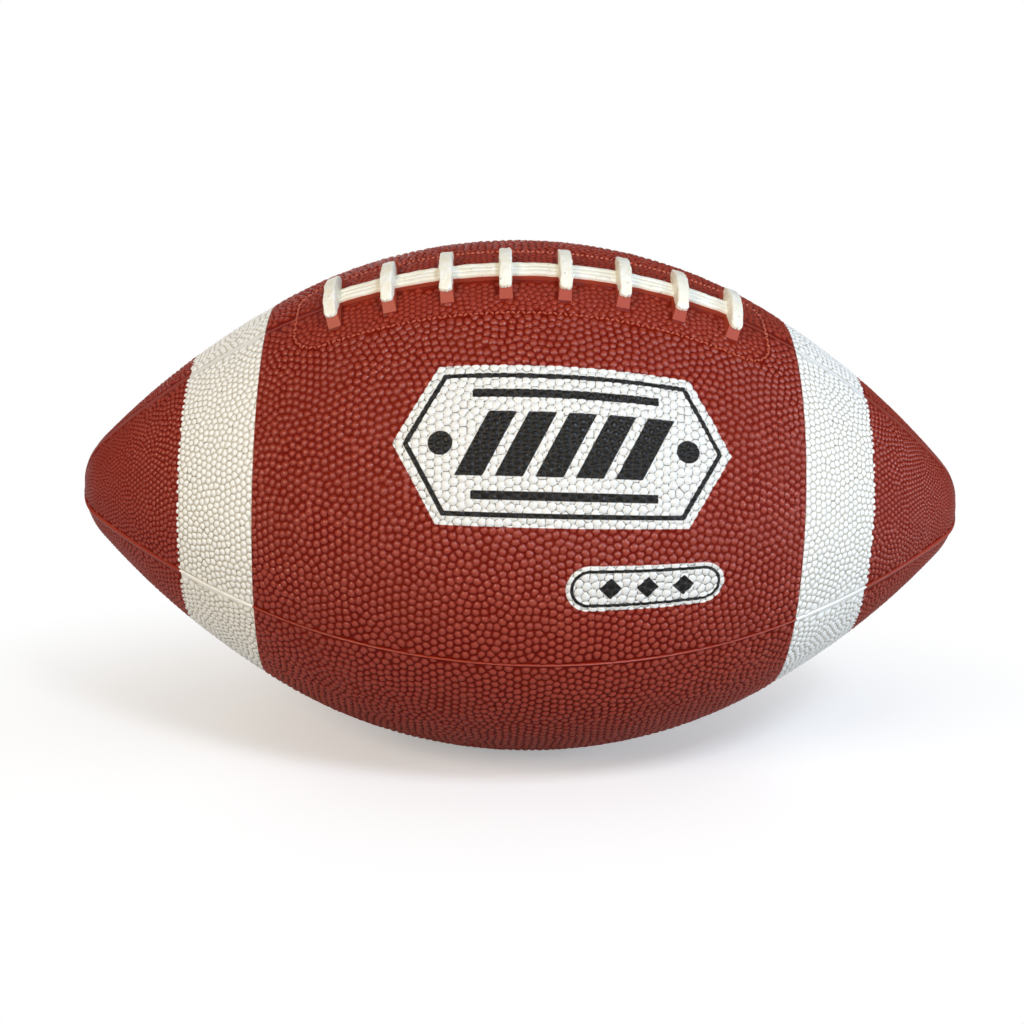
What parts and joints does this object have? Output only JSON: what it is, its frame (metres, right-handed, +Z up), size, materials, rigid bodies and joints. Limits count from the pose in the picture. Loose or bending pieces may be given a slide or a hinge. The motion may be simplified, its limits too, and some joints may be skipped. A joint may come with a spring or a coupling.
{
  "type": "american football",
  "caption": "Inflated rubber ball with pointed ends, pebbled brick-red cover panels, white end bands and a raised white lacing for the throwing hand.",
  "frame": {"origin": "point of the floor under the middle of the ball, lying on its side", "axes": "+X along the ball to the right as seen from the front, +Y to the back, +Z up; the laces lean 22.5 degrees from +Z to the front"},
  "size_m": [0.286, 0.166, 0.1663],
  "materials": {
    "cover_rubber": "moulded pebble grain, satin",
    "lace_white": "off-white paint, matt",
    "winding_thread": "wound and glued thread",
    "bladder_rubber": "smooth, matt",
    "valve_rubber": "smooth, satin",
    "valve_core": "smooth, soft"
  },
  "bodies": {
    "root": {"front_panel": "cover_rubber", "bottom_panel": "cover_rubber", "back_panel": "cover_rubber", "top_panel": "cover_rubber", "winding": "winding_thread", "bladder": "bladder_rubber", "valve_boot": "valve_rubber", "valve_plug": "valve_core", "lace_bed": "cover_rubber", "long_lace": "lace_white", "cross_lace_1": "lace_white", "cross_lace_2": "lace_white", "cross_lace_3": "lace_white", "cross_lace_4": "lace_white", "cross_lace_5": "lace_white", "cross_lace_6": "lace_white", "cross_lace_7": "lace_white", "cross_lace_8": "lace_white"}
  },
  "joints": []
}
